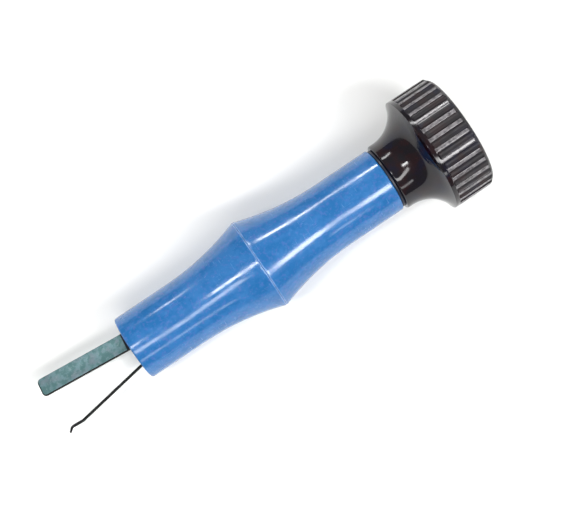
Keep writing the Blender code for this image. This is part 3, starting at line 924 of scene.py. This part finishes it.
def make_probe():
    """The wire as a tube along its route, drawn slightly thinner towards the hook's tip."""
    route = probe_route()
    bm = bmesh.new()
    rings = []
    for i, point in enumerate(route):
        left = sum((b - a).length for a, b in zip(route[i:], route[i + 1:]))
        thinned = HOOK_TIP_SHARE + (1 - HOOK_TIP_SHARE) * left / HOOK_TAPER_LENGTH
        radius = PROBE_RADIUS * min(1.0, thinned)
        ahead = route[min(i + 1, len(route) - 1)] - route[max(i - 1, 0)]
        side = Vector((-ahead.y, ahead.x, 0)).normalized() * radius
        up = Vector((0, 0, radius))
        angles = [math.tau * k / WIRE_SIDES for k in range(WIRE_SIDES)]
        rings.append([bm.verts.new(point + side * math.cos(a) + up * math.sin(a)) for a in angles])
    join_rings(bm, rings)
    cap(bm, rings[0], route[0], Vector((1, 0, 0)))
    cap(bm, rings[-1], route[-1], (route[-1] - route[-2]).normalized())
    piece = add_mesh("hooked_wire", bm, PROBE, wire_surface, 60)
    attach(piece, "probe")
    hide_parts("hook_probe")


# ---------------------------------------------------------------- the object


def finish_inner_nodes():
    """The CAD nodes inside the handle keep their shape and get their metal."""
    surfaces = {
        "guide_bush": brass,
        "rear_bush": brass,
        "knob_insert": brass,
        "key_pin": steel,
        "collet_pin": steel,
        "draw_bar": steel,
        "return_spring": steel,
    }
    for node, surface in surfaces.items():
        data = frame["nodes"][node].data
        data.materials.clear()
        data.materials.append(surface)


make_grip()
make_washer()
make_knob()
make_sleeve()
make_collet()
make_blade()
make_probe()
finish_inner_nodes()

# ---------------------------------------------------------------- floor and light

FLOOR_HALF = 3.0
ROOM_WALLS = 0.30
ROOM_OVERHEAD = 0.42
ROOM_HEIGHTS = (0.5, 0.85)  # sine of the elevation at which the walls end and the overhead starts
LIGHT_HEIGHT = 0.9
LIGHT_AIM = Vector((0, 0, 0.015))
# name, start and end (x, y), width in metres, power in watts
LIGHTS = (
    ("tube_right", (0.15, -0.53), (0.68, -0.70), 0.24, 7.6),
    ("tube_left", (-0.58, -0.28), (0.15, -0.53), 0.16, 3.4),
    ("nose_tube", (-0.75, 0.0), (-0.32, -0.01), 0.10, 3.3),
    ("window_right", (0.22, 1.12), (0.70, 0.98), 0.14, 5.8),
    ("window_left", (-0.30, 1.40), (0.22, 1.15), 0.14, 3.2),
    ("low_tube", (-0.65, -1.42), (0.25, -1.50), 0.20, 2.4),
)


def make_floor():
    bm = bmesh.new()
    bmesh.ops.create_grid(bm, x_segments=1, y_segments=1, size=FLOOR_HALF)
    floor = add_mesh("floor", bm, Matrix.Identity(4), pale_floor())


def strip_light(name, start, end, width, power):
    """A long soft light between two points at the lights' height, facing the tool."""
    data = bpy.data.lights.new(name, "AREA")
    data.shape = "RECTANGLE"
    start, end = Vector((*start, LIGHT_HEIGHT)), Vector((*end, LIGHT_HEIGHT))
    data.size = (end - start).length
    data.size_y = width
    data.energy = power
    light = bpy.data.objects.new(name, data)
    bpy.context.scene.collection.objects.link(light)
    centre = (start + end) / 2
    light.matrix_world = axes_frame(end - start, centre - LIGHT_AIM, centre)


def make_world():
    """A pale room: a little brighter straight overhead than round the walls."""
    world = bpy.data.worlds.new("studio")
    world.use_nodes = True
    nodes = world.node_tree.nodes
    links = world.node_tree.links
    background = nodes["Background"]
    background.inputs[0].default_value = (1, 1, 1, 1)
    split = nodes.new("ShaderNodeSeparateXYZ")
    links.new(nodes.new("ShaderNodeTexCoord").outputs["Generated"], split.inputs[0])
    rise = nodes.new("ShaderNodeMapRange")
    rise.interpolation_type = "SMOOTHSTEP"
    for socket, value in zip(rise.inputs[1:5], (*ROOM_HEIGHTS, ROOM_WALLS, ROOM_OVERHEAD)):
        socket.default_value = value
    links.new(split.outputs[2], rise.inputs[0])
    links.new(rise.outputs[0], background.inputs[1])
    bpy.context.scene.world = world


make_floor()
make_world()
for light_values in LIGHTS:
    strip_light(*light_values)
bpy.context.scene.view_settings.view_transform = "Standard"
